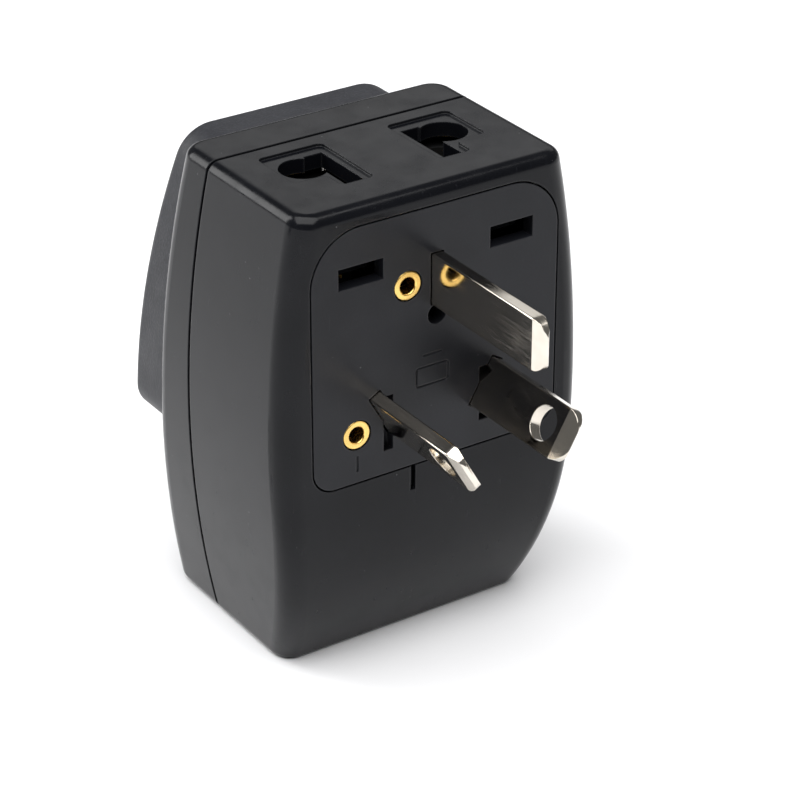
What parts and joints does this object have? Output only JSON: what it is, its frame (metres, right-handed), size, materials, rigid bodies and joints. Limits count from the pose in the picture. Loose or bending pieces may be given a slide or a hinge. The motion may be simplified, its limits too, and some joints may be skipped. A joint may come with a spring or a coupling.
{
  "type": "travel adapter",
  "caption": "Universal travel mains adapter: black case with outlets on its front and both ends, and an earthed plug with flat slanted pins on its back.",
  "frame": {"origin": "on the plug face, midway between the live and neutral pins", "axes": "+Y out of the plug face along the pins, so the front outlet faces -Y; +Z along the long direction, from the bottom outlet to the top outlet; +X to the right seen from the front"},
  "size_m": [0.0418, 0.0573, 0.0605],
  "materials": {
    "case": "semi-gloss moulded black plastic",
    "pad": "fine spark-eroded grain, dark grey",
    "label": "satin dark grey with raised plain bars",
    "back_plate": "satin moulded black plastic",
    "nickel": "polished nickel plate",
    "brass": "bright stamped brass",
    "earth_contact": "tinned spring strip",
    "insulator": "unpolished moulded plastic",
    "screw_steel": "zinc-plated steel"
  },
  "bodies": {
    "root": {"front_shell": "case", "rear_cover": "case", "socket_pad": "pad", "label_plate": "label", "pin_plate": "back_plate", "earth_pin": "nickel", "live_pin": "nickel", "neutral_pin": "nickel", "pin_rivets": "brass", "front_live_contact": "brass", "front_neutral_contact": "brass", "front_earth_contact": "earth_contact", "bottom_live_contact": "brass", "bottom_neutral_contact": "brass", "bottom_earth_contact": "earth_contact", "top_live_contact": "brass", "top_neutral_contact": "brass", "live_bus_bar": "brass", "neutral_bus_bar": "brass", "earth_bus_bar": "brass", "front_contact_carrier": "insulator", "bottom_contact_carrier": "insulator", "top_contact_carrier": "insulator", "case_screws": "screw_steel"}
  },
  "joints": []
}
